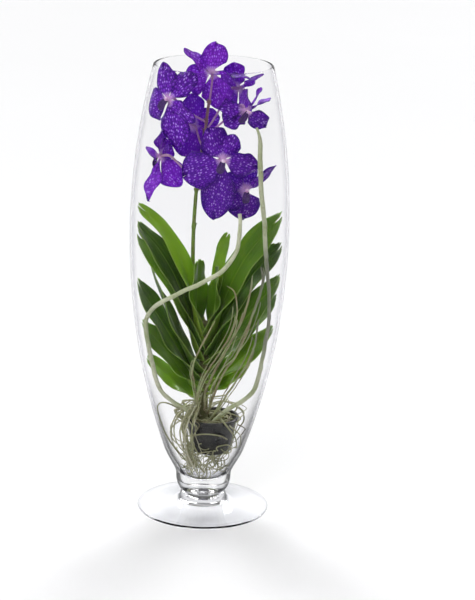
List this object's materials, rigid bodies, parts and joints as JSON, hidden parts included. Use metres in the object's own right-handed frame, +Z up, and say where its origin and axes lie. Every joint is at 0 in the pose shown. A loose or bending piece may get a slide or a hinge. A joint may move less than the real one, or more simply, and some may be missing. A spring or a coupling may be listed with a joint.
{
  "type": "orchid in a vase",
  "caption": "Blue-violet orchid with strap leaves and long bare roots, standing with its small pot inside a tall clear glass vase that swells in the middle and stands on a round foot",
  "frame": {"origin": "on the vase's axis, in the plane that the foot stands on", "axes": "+Z up along the vase's axis, -Y the side that most flowers face, +X to the right seen from there"},
  "size_m": [0.2068, 0.2068, 0.6209],
  "materials": {
    "clear_glass": "clear, polished",
    "black_plastic": "thin moulded, softly glossy",
    "silvery_root": "matt, silvery green",
    "green_stem": "matt",
    "green_leaf": "waxy",
    "green_spike": "satin",
    "violet_petal": "velvety, netted with paler violet",
    "dark_lip": "waxy"
  },
  "bodies": {
    "root": {"flower_back_lip": "dark_lip", "flower_back_petals": "violet_petal", "flower_back_sepals": "violet_petal", "flower_centre_lip": "dark_lip", "flower_centre_petals": "violet_petal", "flower_centre_sepals": "violet_petal", "flower_high_right_lip": "dark_lip", "flower_high_right_petals": "violet_petal", "flower_high_right_sepals": "violet_petal", "flower_left_lip": "dark_lip", "flower_left_petals": "violet_petal", "flower_left_sepals": "violet_petal", "flower_low_left_lip": "dark_lip", "flower_low_left_petals": "violet_petal", "flower_low_left_sepals": "violet_petal", "flower_low_right_lip": "dark_lip", "flower_low_right_petals": "violet_petal", "flower_low_right_sepals": "violet_petal", "flower_right_lip": "dark_lip", "flower_right_petals": "violet_petal", "flower_right_sepals": "violet_petal", "flower_spike": "green_spike", "flower_top_lip": "dark_lip", "flower_top_petals": "violet_petal", "flower_top_sepals": "violet_petal", "glass_vase": "clear_glass", "leaf_left_1": "green_leaf", "leaf_left_2": "green_leaf", "leaf_left_3": "green_leaf", "leaf_left_4": "green_leaf", "leaf_left_5": "green_leaf", "leaf_left_6": "green_leaf", "leaf_left_7": "green_leaf", "leaf_right_1": "green_leaf", "leaf_right_2": "green_leaf", "leaf_right_3": "green_leaf", "leaf_right_4": "green_leaf", "leaf_right_5": "green_leaf", "leaf_right_6": "green_leaf", "leaf_right_7": "green_leaf", "plant_pot": "black_plastic", "root_across": "silvery_root", "root_bundle_1": "silvery_root", "root_bundle_2": "silvery_root", "root_bundle_3": "silvery_root", "root_bundle_4": "silvery_root", "root_front": "silvery_root", "root_long_right": "silvery_root", "root_mass": "silvery_root", "stem": "green_stem"}
  },
  "joints": []
}
